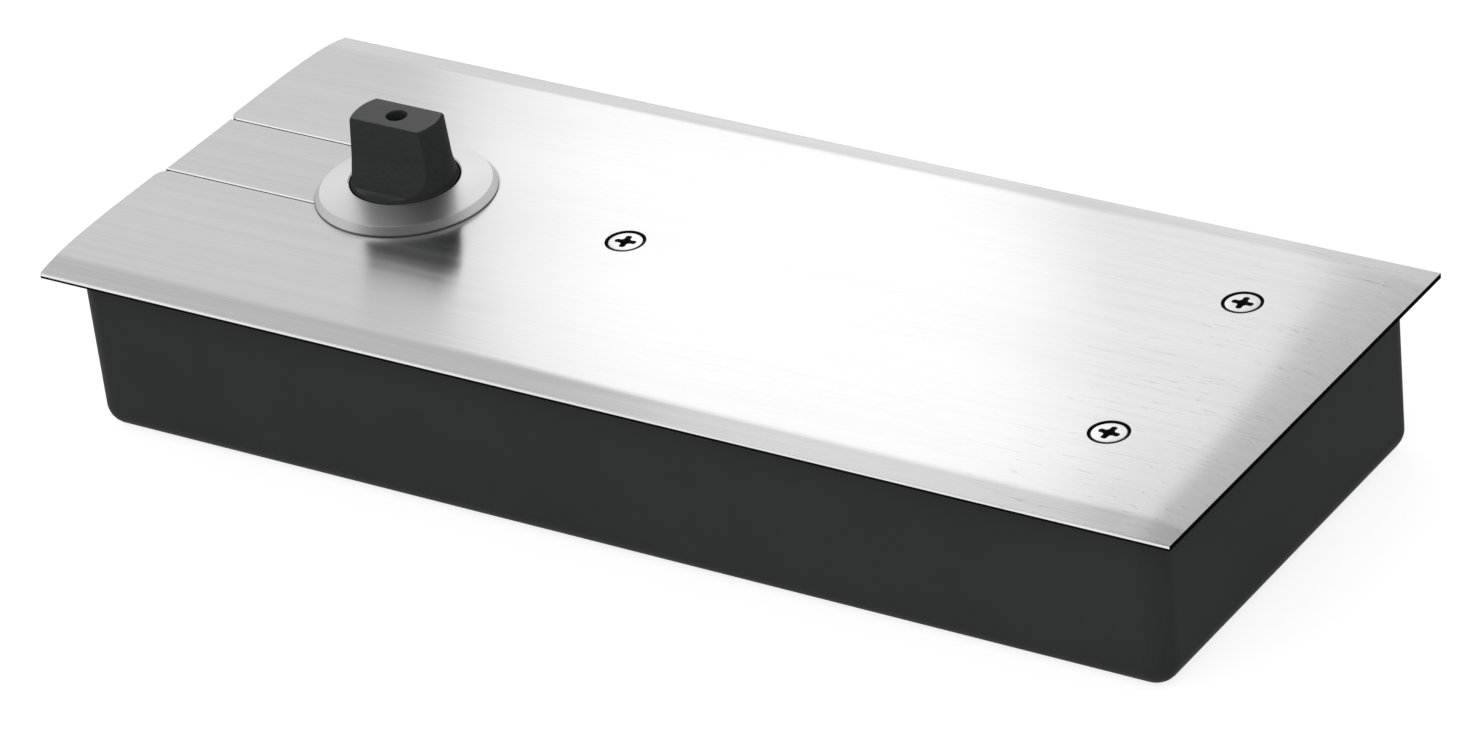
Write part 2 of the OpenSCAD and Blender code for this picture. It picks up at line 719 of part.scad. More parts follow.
module power_adjuster() {
    color([0.6, 0.6, 0.62]) difference() {
        union() {
            bar_x(adjuster_r, adjuster_x0, plug_x1 + 0.5);
            bar_x(adjuster_r + 3, adjuster_collar_x, adjuster_collar_x + adjuster_collar_t);
        }
        translate([plug_x1 - 4.5, 0, bore_z]) rotate([0, 90, 0])
            cylinder(h = 6, r = adjuster_r * 0.62, $fn = 6);
        difference() {
            bar_x(adjuster_r + 1, plug_x0 + 8, plug_x0 + 10.4);
            bar_x(adjuster_r - 1, plug_x0 + 7, plug_x0 + 11);
        }
    }
}

module adjuster_seal() {
    color([0.1, 0.1, 0.1]) translate([plug_x0 + 9.2, 0, bore_z]) rotate([0, 90, 0])
        rotate_extrude() translate([adjuster_r - 0.5, 0]) circle(0.5, $fn = 24);
}

module end_plug() {
    color([0.5, 0.5, 0.52]) difference() {
        bar_x(plug_r, plug_x0, plug_x1);
        bar_x(adjuster_r + run_gap, plug_x0 - 1, plug_x1 + 1);
        difference() {
            bar_x(plug_r + 1, plug_x0 + 4, plug_x0 + 7);
            bar_x(plug_r - 2, plug_x0 + 3, plug_x0 + 8);
        }
        // two pin holes for the spanner
        for (s = [-1, 1]) translate([plug_x1 - 4, s * plug_r * 0.64, bore_z])
            rotate([0, 90, 0]) cylinder(h = 5, r = 1.8);
    }
}

module end_plug_seal() {
    color([0.1, 0.1, 0.1]) difference() {
        bar_x(plug_r, plug_x0 + 4.3, plug_x0 + 6.7);
        bar_x(plug_r - 2, plug_x0 + 3, plug_x0 + 8);
    }
}

// A speed valve, with a slot in its head, a groove for its seal and a conical point
module speed_valve() {
    r = valve_r - run_gap;
    tip = 4;
    difference() {
        union() {
            bar_z(r, valve_foot + tip, valve_head_z);
            translate([0, 0, valve_foot]) cylinder(h = tip, r1 = 0.5, r2 = r);
        }
        translate([0, 0, valve_head_z]) cube([2 * valve_r + 1, 1, 3], center = true);
        translate([0, 0, valve_seal_z - 0.8]) difference() {
            cylinder(h = 1.6, r = valve_r + 1);
            translate([0, 0, -1]) cylinder(h = 4, r = r - 1.5);
        }
        // the waist that the oil passes
        translate([0, 0, cross_z - oil_r]) difference() {
            cylinder(h = 2 * oil_r, r = valve_r + 1);
            translate([0, 0, -1]) cylinder(h = 2 * oil_r + 2, r = r - 1.5);
        }
    }
}

valve_seal_z = body_top - 6;
module valve_seal() {
    r = valve_r - run_gap;
    translate([0, 0, valve_seal_z]) rotate_extrude() translate([r - 0.75, 0]) circle(0.75, $fn = 24);
}

module closing_speed_valve() {
    color([0.75, 0.62, 0.3]) translate([valve_x, -valve_y, 0]) speed_valve();
}

module closing_valve_seal() {
    color([0.1, 0.1, 0.1]) translate([valve_x, -valve_y, 0]) valve_seal();
}

module latching_speed_valve() {
    color([0.75, 0.62, 0.3]) translate([valve_x, valve_y, 0]) speed_valve();
}

module latching_valve_seal() {
    color([0.1, 0.1, 0.1]) translate([valve_x, valve_y, 0]) valve_seal();
}

module channel_plugs() {
    color([0.6, 0.6, 0.62]) for (s = [-1, 1])
        translate([body_l / 2 - 8, s * valve_y, way_z]) rotate([0, 90, 0]) difference() {
            cylinder(h = 7.5, r = oil_r + 1);
            translate([0, 0, 5]) cylinder(h = 5, r = oil_r * 0.7, $fn = 6);
        }
}

module hold_down_screws() {
    color([0.6, 0.6, 0.62]) at_ears() translate([ear_x + ear_screw_dx, ear_screw_y, 0]) difference() {
        union() {
            bar_z(ear_screw_r, case_wall + 2, ear_z1 + washer_t);
            bar_z(ear_screw_r * 1.7, ear_z1 + washer_t, ear_z1 + washer_t + 5);
        }
        translate([0, 0, ear_z1 + washer_t + 2]) cylinder(h = 4, r = ear_screw_r * 0.9, $fn = 6);
    }
}

module hold_down_washers() {
    color([0.65, 0.65, 0.67]) at_ears() translate([ear_x + ear_screw_dx, ear_screw_y, ear_z1])
        difference() {
            cylinder(h = washer_t, r = ear_screw_r * 2);
            translate([0, 0, -1]) cylinder(h = washer_t + 2, r = ear_screw_r + 0.2);
        }
}

module levelling_screws() {
    color([0.6, 0.6, 0.62]) at_ears() translate([ear_x - ear_screw_dx, ear_screw_y, 0]) difference() {
        bar_z(ear_screw_r, case_wall, ear_z1 + 2);
        translate([0, 0, ear_z1]) cylinder(h = 4, r = ear_screw_r * 0.6, $fn = 6);
    }
}

cement_box();
cover_plate();
slot_strip();
spindle_ring();
cover_screws();
closer_body();
body_lid();
lid_gasket();
lid_screws();
upper_bearing();
lower_bearing();
spindle_seal();
spindle();
heart_cam();
cam_key();
cam_clip();
cam_roller();
roller_pin();
piston();
piston_seal();
check_ball();
ball_retainer();
outer_spring();
inner_spring();
spring_nut();
power_adjuster();
adjuster_seal();
end_plug();
end_plug_seal();
closing_speed_valve();
closing_valve_seal();
latching_speed_valve();
latching_valve_seal();
channel_plugs();
hold_down_screws();
hold_down_washers();
levelling_screws();
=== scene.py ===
"""Looks of the floor spring: brushed cover, satin ring, dark spindle and case, and its works."""

import math

import bmesh
import bpy
from mathutils import Matrix, Vector


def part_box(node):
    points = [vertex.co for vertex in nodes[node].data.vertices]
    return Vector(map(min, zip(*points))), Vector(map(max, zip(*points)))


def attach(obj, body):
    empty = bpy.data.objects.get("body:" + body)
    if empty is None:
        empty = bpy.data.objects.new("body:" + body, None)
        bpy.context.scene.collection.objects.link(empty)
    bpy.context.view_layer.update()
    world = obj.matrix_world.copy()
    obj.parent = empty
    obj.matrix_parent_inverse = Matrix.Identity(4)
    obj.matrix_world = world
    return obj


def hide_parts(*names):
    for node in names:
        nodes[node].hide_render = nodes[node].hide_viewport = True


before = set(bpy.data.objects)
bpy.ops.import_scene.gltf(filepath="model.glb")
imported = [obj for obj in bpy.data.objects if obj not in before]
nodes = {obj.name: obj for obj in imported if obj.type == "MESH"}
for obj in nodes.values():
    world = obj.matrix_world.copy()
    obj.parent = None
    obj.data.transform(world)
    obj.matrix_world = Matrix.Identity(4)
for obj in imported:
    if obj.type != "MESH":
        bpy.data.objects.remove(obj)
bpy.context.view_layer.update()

# Sizes from the frame. All lengths are in metres unless a line says otherwise.
cover_lo, cover_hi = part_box("cover_plate")
ring_lo, ring_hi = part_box("spindle_ring")
FLAT_Z = cover_hi.z
HEAD_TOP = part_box("cover_screws")[1].z
SPINDLE_AT = (ring_lo + ring_hi) / 2

# Soft edges and painted shade in gaps
EDGE_SAMPLES, GAP_SAMPLES = 6, 8
GAP_SHADE_TONE = 0.12  # what a colour is multiplied by in the deepest gaps
GAP_OPEN = 0.9  # a place this open keeps its colour
EDGE_FROM = 0.08  # a soft edge tilts the cover's normal by more than this, a facet by less

# The cover's shading
RIM_Z = 0.0438  # height of its rims
CROWN_RUN = 0.0095  # how gently the crown falls away at the far end
RIM_BAND = (0.0058, 0.0080)  # where the slope of the long rims fades out, from the cover's side
RIM_SLOPE = (0.225, 0.095)  # that slope at the near end and at the far end
LINE_NEAR = 0.002  # the bright line on the rims' outer faces: how near the cover's side
LINE_DEEP = 0.0007  # and how far down
SLOT_HALF = 0.0138  # half the slot's width, where the cover's bright lip starts
STRIP_FRONT = -SLOT_HALF + 0.0003  # where the strip's starts
LIP = 0.00065  # width of a lip
LIP_LEAN = -0.7  # its slope, towards the camera's side
STREAK = 0.08  # how much the brushing varies the tone
SHEET_ROUGH = 0.19
SCRATCHED = (0.080, 0.125)  # the stretch of X over which fine scratches set in
SCRATCH_TINT = (0.72, 0.72, 0.72, 1)
# Painted shade on the cover's sides and the sinks of its screws
SIDE_SHADE = (0.011, 0.0115, 0.0112, 1)
FACES_UP = 0.9  # faces that point up more than this are the cover's top

# The ring's shading
RING_LEVEL = 0.80  # how far its top is shaded as if it lay flat
# Painted shade: the ring's far side and its bevel are darkened in colour
RING_SHADE_SPAN = (0.002, 0.018)  # where its far side darkens, along X from the middle
RING_SHADE_TONE = 0.84
BEVEL_SHADE_TONE = 0.78

# The cover screws
SCREW_PLACES = [  # X, Y and the cross's turn in degrees
    (-0.0279, 0.0, 9.0),
    (0.1197, 0.0307, 2.0),
    (0.1197, -0.0307, -4.0),
]
HEAD_R = 0.00445
SHANK_R = 0.0025
# The head's rim below this depth takes near-black painted shade
HEAD_RIM = 0.00008  # faces further down than this are the head's dark rim
CROSS_ARM, CROSS_WIDTH, CROSS_DEPTH = 0.0027, 0.0015, 0.0017
CROSS_OVER = 0.0004  # how far the cutting tool stands above the head
CROSS_LAP = 0.0001  # how far its wings reach past the middle
HEAD_STEPS, CROSS_STEPS = 64, 24
ON_AXIS = 1e-7  # a turned shape's points closer to its axis than this are one point
HEAD_SMOOTH, CUT_SMOOTH = 25, 28  # degrees up to which edges are shaded smooth

# The camera, fitted to the cover's corners in the photo
AZ, EL, ROLL = math.radians(35.379), math.radians(30.28), math.radians(-6.403)
SHIFT_X, SHIFT_Y, DIST = 3.054, -23.64, 1639.475  # millimetres
FOCAL_PX, PHOTO_PX = 7063.3, 1480
SENSOR = 36  # millimetres
CLIP_NEAR, CLIP_FAR = 0.05, 50

# The softboxes
BOX_AWAY = 0.5  # from the cover
BOX_SCALE = 1 + BOX_AWAY / (DIST / 1000)
BOX_TALL, BOX_LIFT = 0.28, 0.03

# The studio: brightness over the height of a ray's direction, and over how far it runs one way
OVERHEAD = [(0.0, 1.0), (0.50, 1.0), (0.62, 0.86), (0.74, 0.70), (0.88, 0.50), (1.0, 0.20)]
NEAR_SIDE = [(0.10, 1.0), (0.58, 0.24)]
LIP_LAMP_WAY = (-0.51, -0.18, 0.84)  # up on the left, for the lips of the slot
LIP_LAMP = [(0.94, 0.0), (0.975, 1.0)]
FILL_WAY = (-0.25, -0.97, 0)
FILL = [(0.0, 0.30), (0.9, 0.74)]

# The floor
FLOOR_HALF = 4.0
FLOOR_GLOW = 0.80


def shade(level):
    return (level, level, level)


def times(tone, factor):
    return tuple(c * factor for c in tone)


class Graph:
    """The node tree of a material or world, with short calls for making nodes and joining them."""

    def __init__(self, owner, output):
        self.owner = owner
        owner.use_nodes = True
        self.tree = owner.node_tree
        self.tree.nodes.clear()
        self.out = self.node(output)

    def node(self, kind, **properties):
        made = self.tree.nodes.new(kind)
        for key, value in properties.items():
            setattr(made, key, value)
        return made

    def join(self, a, b):
        self.tree.links.new(a, b)

    def feed(self, socket, value):
        """Joins another node's socket to the input, or gives it a plain value."""
        if isinstance(value, bpy.types.NodeSocket):
            self.join(value, socket)
        else:
            socket.default_value = value

    def feed_all(self, made, values):
        for key, value in values.items():
            self.feed(made.inputs[key], value)

    def here(self):
        return self.node("ShaderNodeTexCoord").outputs["Object"]

    def parts(self, vector):
        """A vector's X, Y and Z sockets."""
        made = self.node("ShaderNodeSeparateXYZ")
        self.join(vector, made.inputs[0])
        return tuple(made.outputs)

    def noise(self, scale, detail, rough):
        """Noise that is finer along an axis the larger its scale there."""
        stretched = self.node("ShaderNodeMapping")
        self.feed_all(stretched, {"Vector": self.here(), "Scale": scale})
        made = self.node("ShaderNodeTexNoise")
        self.feed_all(made, {
            "Vector": stretched.outputs["Vector"], "Scale": 1.0,
            "Detail": detail, "Roughness": rough})
        return made.outputs["Fac"]

    def spread(self, source, lo, hi, frm=0.3, to=0.7):
        """Maps frm..to of the source on lo..hi."""
        made = self.node("ShaderNodeMapRange")
        self.feed_all(made, {
            "Value": source, "From Min": frm, "From Max": to, "To Min": lo, "To Max": hi})
        return made.outputs["Result"]

    def ramp(self, source, stops, interpolation="LINEAR"):
        """Turns a value into colours, given as (place, colour)."""
        made = self.node("ShaderNodeValToRGB")
        made.color_ramp.interpolation = interpolation
        elements = made.color_ramp.elements
        while len(elements) < len(stops):
            elements.new(0.5)
        for element, (at, colour) in zip(elements, stops):
            element.position = at
            element.color = (*colour, 1)
        self.join(source, made.inputs["Fac"])
        return made.outputs["Color"]

    def levels(self, source, stops):
        """Turns a value into greys that ease into each other, given as (place, level)."""
        return self.ramp(source, [(at, shade(level)) for at, level in stops], "EASE")

    def bump(self, source, height, strength, normal=None):
        made = self.node("ShaderNodeBump")
        self.feed_all(made, {"Distance": height, "Strength": strength, "Height": source})
        if normal is not None:
            self.join(normal, made.inputs["Normal"])
        return made.outputs["Normal"]

    def soft_edges(self, radius):
        made = self.node("ShaderNodeBevel", samples=EDGE_SAMPLES)
        made.inputs["Radius"].default_value = radius
        return made.outputs["Normal"]

    def maths(self, kind, *values, clamp=False):
        """A Math node on sockets or plain numbers."""
        made = self.node("ShaderNodeMath", operation=kind, use_clamp=clamp)
        for socket, value in zip(made.inputs, values):
            self.feed(socket, value)
        return made.outputs[0]

    def vectors(self, kind, *values):
        """A Vector Math node on sockets or plain vectors."""
        made = self.node("ShaderNodeVectorMath", operation=kind)
        for socket, value in zip(made.inputs, values):
            self.feed(socket, value)
        return made.outputs["Value" if kind in ("LENGTH", "DOT_PRODUCT") else "Vector"]

    def mixed(self, kind, factor, a, b, blend="MIX"):
        """Turns a into b by the factor, all of them sockets or plain values."""
        made = self.node("ShaderNodeMix", data_type=kind, blend_type=blend)
        self.feed_all(made, {"Factor": factor, "A": a, "B": b})
        return made.outputs["Result"]

    def over(self, value, limit):
        """1 where the value is over the limit, else 0."""
        return self.maths("GREATER_THAN", value, limit)

    def within(self, value, lo, hi):
        """1 where the value lies between two numbers, else 0."""
        return self.maths("MULTIPLY", self.over(value, lo), self.maths("LESS_THAN", value, hi))

    def facing(self):
        """The X, Y and Z of the true surface's normal."""
        return self.parts(self.node("ShaderNodeNewGeometry").outputs["True Normal"])

    def facing_up(self, limit):
        """1 where the true surface faces up more than the limit, else 0."""
        return self.over(self.facing()[2], limit)

    def painted_gap_shade(self, colour, reach, low):
        """Darkens a colour with painted shade in gaps narrower than the reach. A place open less
        than low takes the full painted shade."""
        made = self.node("ShaderNodeAmbientOcclusion", samples=GAP_SAMPLES)
        made.inputs["Distance"].default_value = reach
        dark = self.spread(made.outputs["AO"], GAP_SHADE_TONE, 1.0, low, GAP_OPEN)
        grey = self.node("ShaderNodeCombineXYZ")
        for socket in grey.inputs:
            self.join(dark, socket)
        return self.mixed("RGBA", 1.0, colour, grey.outputs[0], "MULTIPLY")

    def crowned(self, radius, lip_y):
        """The cover's normal without its facets: the far end's crown and the rims' slope worked out
        from the place, plus the soft edges, and a bright lip that leans forward along the slot,
        from lip_y on."""
        x, y, _ = self.parts(self.here())
        steep = (FLAT_Z - RIM_Z) / CROWN_RUN
        to_end = self.maths("SUBTRACT", cover_hi.x, x)
        end = self.maths("EXPONENT", self.maths("DIVIDE", to_end, -CROWN_RUN))
        to_rim = self.maths("SUBTRACT", cover_hi.y, self.maths("ABSOLUTE", y))
        rim = self.spread(to_rim, 1.0, 0.0, *RIM_BAND)
        slope = self.maths("MULTIPLY", rim, self.spread(x, *RIM_SLOPE, cover_lo.x, cover_hi.x))
        near_end = self.maths("LESS_THAN", x, SPINDLE_AT.x)
        lip = self.maths("MULTIPLY", self.within(y, lip_y, lip_y + LIP), near_end)
        across = self.maths("MULTIPLY", slope, self.maths("SIGN", y))
        tilt = self.node("ShaderNodeCombineXYZ")
        self.feed_all(tilt, {
            "X": self.maths("MULTIPLY", end, steep),
            "Y": self.maths("MULTIPLY_ADD", lip, LIP_LEAN, across),
            "Z": 1.0})
        smooth = self.vectors("NORMALIZE", tilt.outputs[0])
        soft = self.soft_edges(radius)
        off = self.vectors("SUBTRACT", soft, self.node("ShaderNodeNewGeometry").outputs["Normal"])
        kept = self.node("ShaderNodeVectorMath", operation="SCALE")
        self.join(off, kept.inputs[0])
        self.join(self.over(self.vectors("LENGTH", off), EDGE_FROM), kept.inputs["Scale"])
        top = self.vectors("NORMALIZE", self.vectors("ADD", smooth, kept.outputs[0]))
        return self.mixed("VECTOR", self.facing_up(FACES_UP), soft, top)

    def surface(self, **values):
        """Joins up the surface and returns the finished material."""
        bsdf = self.node("ShaderNodeBsdfPrincipled")
        self.feed_all(bsdf, {key.replace("_", " "): value for key, value in values.items()})
        self.join(bsdf.outputs["BSDF"], self.out.inputs["Surface"])
        return self.owner


def material(name):
    return Graph(bpy.data.materials.new(name), "ShaderNodeOutputMaterial")


def brushed_sheet(name, tone, lip_y):
    """Stainless sheet brushed along X: long fine streaks, and reflections drawn out across them."""
    g = material(name)
    fine = g.noise((14, 2600, 2600), detail=3.0, rough=0.6)
    broad = g.noise((7, 420, 420), detail=2.0, rough=0.5)
    patch = g.noise((9, 26, 26), detail=2.0, rough=0.5)
    streaks = g.maths("MULTIPLY_ADD", fine, 0.55, g.maths("MULTIPLY", broad, 0.45))
    colour = g.ramp(streaks, [
        (0.30, shade(tone * (1 - STREAK))),
        (0.52, shade(tone)),
        (0.72, shade(min(1, tone * (1 + STREAK * 0.7))))])
    # Fine dark scratches near the far end
    x, y, z = g.parts(g.here())
    scratch = g.within(g.noise((40, 900, 900), detail=1.0, rough=0.5), 0.60, 0.615)
    lines = g.maths("MULTIPLY", scratch, g.spread(x, 0.0, 1.0, *SCRATCHED))
    colour = g.mixed("RGBA", g.maths("MULTIPLY", lines, 0.8), colour, SCRATCH_TINT, "MULTIPLY")
    # Painted shade: the colour darkens in narrow gaps, such as round the screws, along the slot and
    # at the ring's foot
    colour = g.painted_gap_shade(colour, reach=0.0010, low=0.45)
    # The sides and sinks are painted dark as shade, but for a line along the front and back rims
    # that keeps the bright metal
    faces_out = g.over(g.maths("ABSOLUTE", g.facing()[1]), 0.5)
    outermost = g.over(g.maths("ABSOLUTE", y), cover_hi.y - LINE_NEAR)
    bright = g.maths("MULTIPLY", faces_out, outermost)
    bright = g.maths("MULTIPLY", bright, g.over(z, RIM_Z - LINE_DEEP))
    side = g.maths("SUBTRACT", 1.0, g.facing_up(FACES_UP))
    edge = g.maths("SUBTRACT", side, bright, clamp=True)
    across = g.node("ShaderNodeCombineXYZ")
    across.inputs["Y"].default_value = 1.0
    return g.surface(
        Base_Color=g.mixed("RGBA", edge, colour, SIDE_SHADE),
        Metallic=g.maths("SUBTRACT", 1.0, edge),
        Specular_IOR_Level=0.0,
        Roughness=g.maths(
            "ADD", g.spread(streaks, -0.03, 0.03),
            g.spread(patch, SHEET_ROUGH - 0.015, SHEET_ROUGH + 0.02)),
        Anisotropic=0.85,
        Tangent=across.outputs[0],
        Normal=g.bump(fine, height=0.000004, strength=0.6,
                      normal=g.crowned(0.00035, lip_y)))


def turned_metal(name, tone, rough, tint=(1, 1, 1), grain=900, edge=0.0003, gaps=0.0):
    """Machined metal: a fine grain, uneven sheen and softened edges."""
    g = material(name)
    fine = g.noise((grain, grain, grain * 2.2), detail=2.0, rough=0.6)
    patch = g.noise((60, 60, 60), detail=3.0, rough=0.6)
    colour = g.ramp(fine, [
        (0.3, times(tint, tone * 0.9)),
        (0.7, tuple(min(1, c) for c in times(tint, tone * 1.08)))])
    # Painted shade: where a reach is given, the colour darkens in narrow gaps
    if gaps:
        colour = g.painted_gap_shade(colour, reach=gaps, low=0.35)
    return g.surface(
        Base_Color=colour,
        Metallic=1.0,
        Roughness=g.spread(patch, rough * 0.85, rough * 1.2),
        Normal=g.bump(fine, height=0.000006, strength=0.5, normal=g.soft_edges(edge)))


def turned_ring(name, tone, rough, centre):
    """A ring faced on a lathe: fine circles, and reflections drawn out from the middle."""
    g = material(name)
    off = g.vectors("SUBTRACT", g.here(), centre)
    flat = g.vectors("MULTIPLY", off, (1, 1, 0))
    made = g.node("ShaderNodeTexNoise", noise_dimensions="1D")
    g.feed_all(made, {"W": g.vectors("LENGTH", flat), "Scale": 5200, "Detail": 2.0})
    circles = made.outputs["Fac"]
    patch = g.noise((60, 60, 60), detail=3.0, rough=0.6)
    colour = g.ramp(circles, [(0.3, shade(tone * 0.95)), (0.7, shade(tone * 1.04))])
    # Painted shade: the side away from the slot is a little darker, and so is the bevel
    far = g.spread(g.parts(off)[0], 0.0, 1.0, *RING_SHADE_SPAN)
    colour = g.mixed("RGBA", far, colour, (*shade(RING_SHADE_TONE), 1), "MULTIPLY")
    top = g.facing_up(0.7)
    colour = g.mixed("RGBA", top, (*shade(tone * BEVEL_SHADE_TONE), 1), colour)
    # The top's cone is shaded nearly flat, so that the spindle's reflection reaches its edge
    level = g.maths("MULTIPLY", top, RING_LEVEL)
    lean = g.mixed("VECTOR", level, g.soft_edges(0.0001), (0, 0, 1))
    # The colour takes painted shade in narrow gaps, such as at the ring's foot
    return g.surface(
        Base_Color=g.painted_gap_shade(colour, reach=0.0012, low=0.35),
        Metallic=1.0,
        Roughness=g.spread(patch, rough * 0.93, rough * 1.08),
        Anisotropic=0.6,
        Tangent=g.vectors("NORMALIZE", flat),
        Normal=g.bump(circles, height=0.000002, strength=0.4,
                      normal=g.vectors("NORMALIZE", lean)))


def blacked(name, tone, rough, side_level, top_level):
    """Blackened steel whose top face is ground a little shinier."""
    g = material(name)
    fine = g.noise((800, 800, 1700), detail=2.0, rough=0.6)
    colour = g.ramp(fine, [(0.3, times(tone, 0.93)), (0.7, times(tone, 1.07))])
    # The colour takes painted shade in narrow gaps, such as round the spindle's collar
    return g.surface(
        Base_Color=g.painted_gap_shade(colour, reach=0.0006, low=0.3),
        Specular_IOR_Level=g.spread(g.facing_up(0.95), side_level, top_level, 0.0, 1.0),
        Roughness=g.spread(fine, rough - 0.03, rough + 0.04),
        Normal=g.bump(fine, height=0.000006, strength=0.5, normal=g.soft_edges(0.0005)))


def painted(name, tone, rough, level):
    """Satin paint on pressed steel: a faint orange peel and slightly uneven sheen."""
    g = material(name)
    fine = g.noise((1400, 1400, 1400), detail=2.0, rough=0.5)
    patch = g.noise((22, 22, 22), detail=3.0, rough=0.6)
    return g.surface(
        Base_Color=g.ramp(patch, [(0.3, times(tone, 0.93)), (0.7, times(tone, 1.07))]),
        Specular_IOR_Level=level,
        Roughness=g.spread(patch, rough - 0.04, rough + 0.05),
        Normal=g.bump(fine, height=0.00002, strength=0.35, normal=g.soft_edges(0.0004)))


def cast(name, tone):
    """Sand-cast iron: a grainy skin with pits."""
    g = material(name)
    grain = g.noise((700, 700, 700), detail=4.0, rough=0.65)
    pits = g.noise((160, 160, 160), detail=3.0, rough=0.6)
    return g.surface(
        Base_Color=g.ramp(pits, [(0.32, times(tone, 0.75)), (0.68, times(tone, 1.15))]),
        Metallic=0.55,
        Roughness=g.spread(grain, 0.5, 0.72),
        Normal=g.bump(grain, height=0.00012, strength=0.5, normal=g.soft_edges(0.0006)))


def soft_black(name, tone, rough):
    """Moulded rubber, or painted shade: nearly black, with a fine bloom."""
    g = material(name)
    bloom = g.noise((420, 420, 420), detail=3.0, rough=0.6)
    return g.surface(
        Base_Color=g.ramp(bloom, [(0.3, shade(tone * 0.8)), (0.75, shade(tone * 1.5))]),
        Roughness=g.spread(bloom, rough - 0.06, rough + 0.08),
        Normal=g.bump(bloom, height=0.00002, strength=0.4))


def fibre(name, tone):
    """Gasket board: short mixed fibres."""
    g = material(name)
    strands = g.noise((240, 900, 900), detail=4.0, rough=0.7)
    return g.surface(
        Base_Color=g.ramp(strands, [(0.3, times(tone, 0.7)), (0.7, times(tone, 1.25))]),
        Roughness=0.85,
        Normal=g.bump(strands, height=0.00004, strength=0.5))


SHEET = brushed_sheet("brushed_cover", 0.76, SLOT_HALF)
STRIP = brushed_sheet("brushed_strip", 0.75, STRIP_FRONT)
RING = turned_ring("satin_ring", 0.83, 0.36, SPINDLE_AT)
CASE = painted("case_paint", (0.074, 0.079, 0.077), rough=0.50, level=0.02)
SPINDLE = blacked("dark_spindle", (0.077, 0.081, 0.079), rough=0.42,
                  side_level=0.01, top_level=0.48)
SCREW = turned_metal("screw_steel", 0.80, 0.24, grain=1500, edge=0.00015, gaps=0.0008)
# Near-black painted shade for the cross recesses and the rims of the screw heads
RECESS_SHADE = soft_black("painted_recess_shade", 0.006, 0.7)
STEEL = turned_metal("ground_steel", 0.55, 0.28)
DARK_STEEL = turned_metal("oiled_spring_steel", 0.16, 0.34, tint=(1, 1.03, 1.1))
ZINC = turned_metal("zinc_screws", 0.6, 0.3, tint=(1, 0.99, 0.95), grain=1500)
BRONZE = turned_metal("bearing_bronze", 0.55, 0.34, tint=(1, 0.72, 0.38))
BRASS = turned_metal("valve_brass", 0.62, 0.26, tint=(1, 0.8, 0.42))
IRON = cast("cast_iron", (0.17, 0.172, 0.178))
LID = cast("cast_lid", (0.21, 0.213, 0.22))
RUBBER = soft_black("seal_rubber", 0.016, 0.6)
GASKET = fibre("gasket_board", (0.30, 0.22, 0.13))

FINISHES = {
    SHEET: ["cover_plate"],
    STRIP: ["slot_strip"],
    RING: ["spindle_ring"],
    CASE: ["cement_box"],
    SPINDLE: ["spindle"],
    SCREW: ["cover_screws"],
    IRON: ["closer_body"],
    LID: ["body_lid"],
    STEEL: ["heart_cam", "cam_key", "cam_roller", "roller_pin", "piston", "check_ball",
            "ball_retainer", "spring_nut", "power_adjuster", "end_plug"],
    DARK_STEEL: ["outer_spring", "inner_spring", "cam_clip"],
    ZINC: ["lid_screws", "channel_plugs", "hold_down_screws", "hold_down_washers",
           "levelling_screws"],
    BRONZE: ["upper_bearing", "lower_bearing"],
    BRASS: ["closing_speed_valve", "latching_speed_valve"],
    RUBBER: ["spindle_seal", "piston_seal", "adjuster_seal", "end_plug_seal",
             "closing_valve_seal", "latching_valve_seal"],
    GASKET: ["lid_gasket"],
}
for finish, names in FINISHES.items():
    for name in names:
        slots = nodes[name].data.materials
        slots.clear()
        slots.append(finish)


def lathe(bm, profile, steps, centre):
    """Turns a profile of (radius, height) points about Z."""
    rings = []
    for r, z in profile:
        if r < ON_AXIS:
            rings.append([bm.verts.new(centre + Vector((0, 0, z)))])
        else:
            angles = [2 * math.pi * k / steps for k in range(steps)]
            rings.append([
                bm.verts.new(centre + Vector((r * math.cos(angle), r * math.sin(angle), z)))
                for angle in angles])
    for a, b in zip(rings, rings[1:]):
        for k in range(steps):
            n = (k + 1) % steps
            if len(a) == 1:
                bm.faces.new((a[0], b[k], b[n]))
            elif len(b) == 1:
                bm.faces.new((a[k], b[0], a[n]))
            else:
                bm.faces.new((a[k], b[k], b[n], a[n]))


def as_object(name, bm, material, smooth_angle=35):
    bmesh.ops.recalc_face_normals(bm, faces=bm.faces)
    mesh = bpy.data.meshes.new(name)
    bm.to_mesh(mesh)
    bm.free()
    mesh.materials.append(material)
    mesh.shade_smooth()
    mesh.set_sharp_from_angle(angle=math.radians(smooth_angle))
    obj = bpy.data.objects.new(name, mesh)
    bpy.context.scene.collection.objects.link(obj)
    return obj


def cut(obj, tool):
    """Takes the tool's shape out of obj and deletes the tool."""
    mod = obj.modifiers.new("cut", "BOOLEAN")
    mod.operation, mod.solver, mod.object = "DIFFERENCE", "EXACT", tool
    mod.use_self = True
    mod.material_mode = "TRANSFER"
    graph = bpy.context.evaluated_depsgraph_get()
    made = bpy.data.meshes.new_from_object(obj.evaluated_get(graph))
    obj.modifiers.clear()
    obj.data = made
    bpy.data.objects.remove(tool, do_unlink=True)


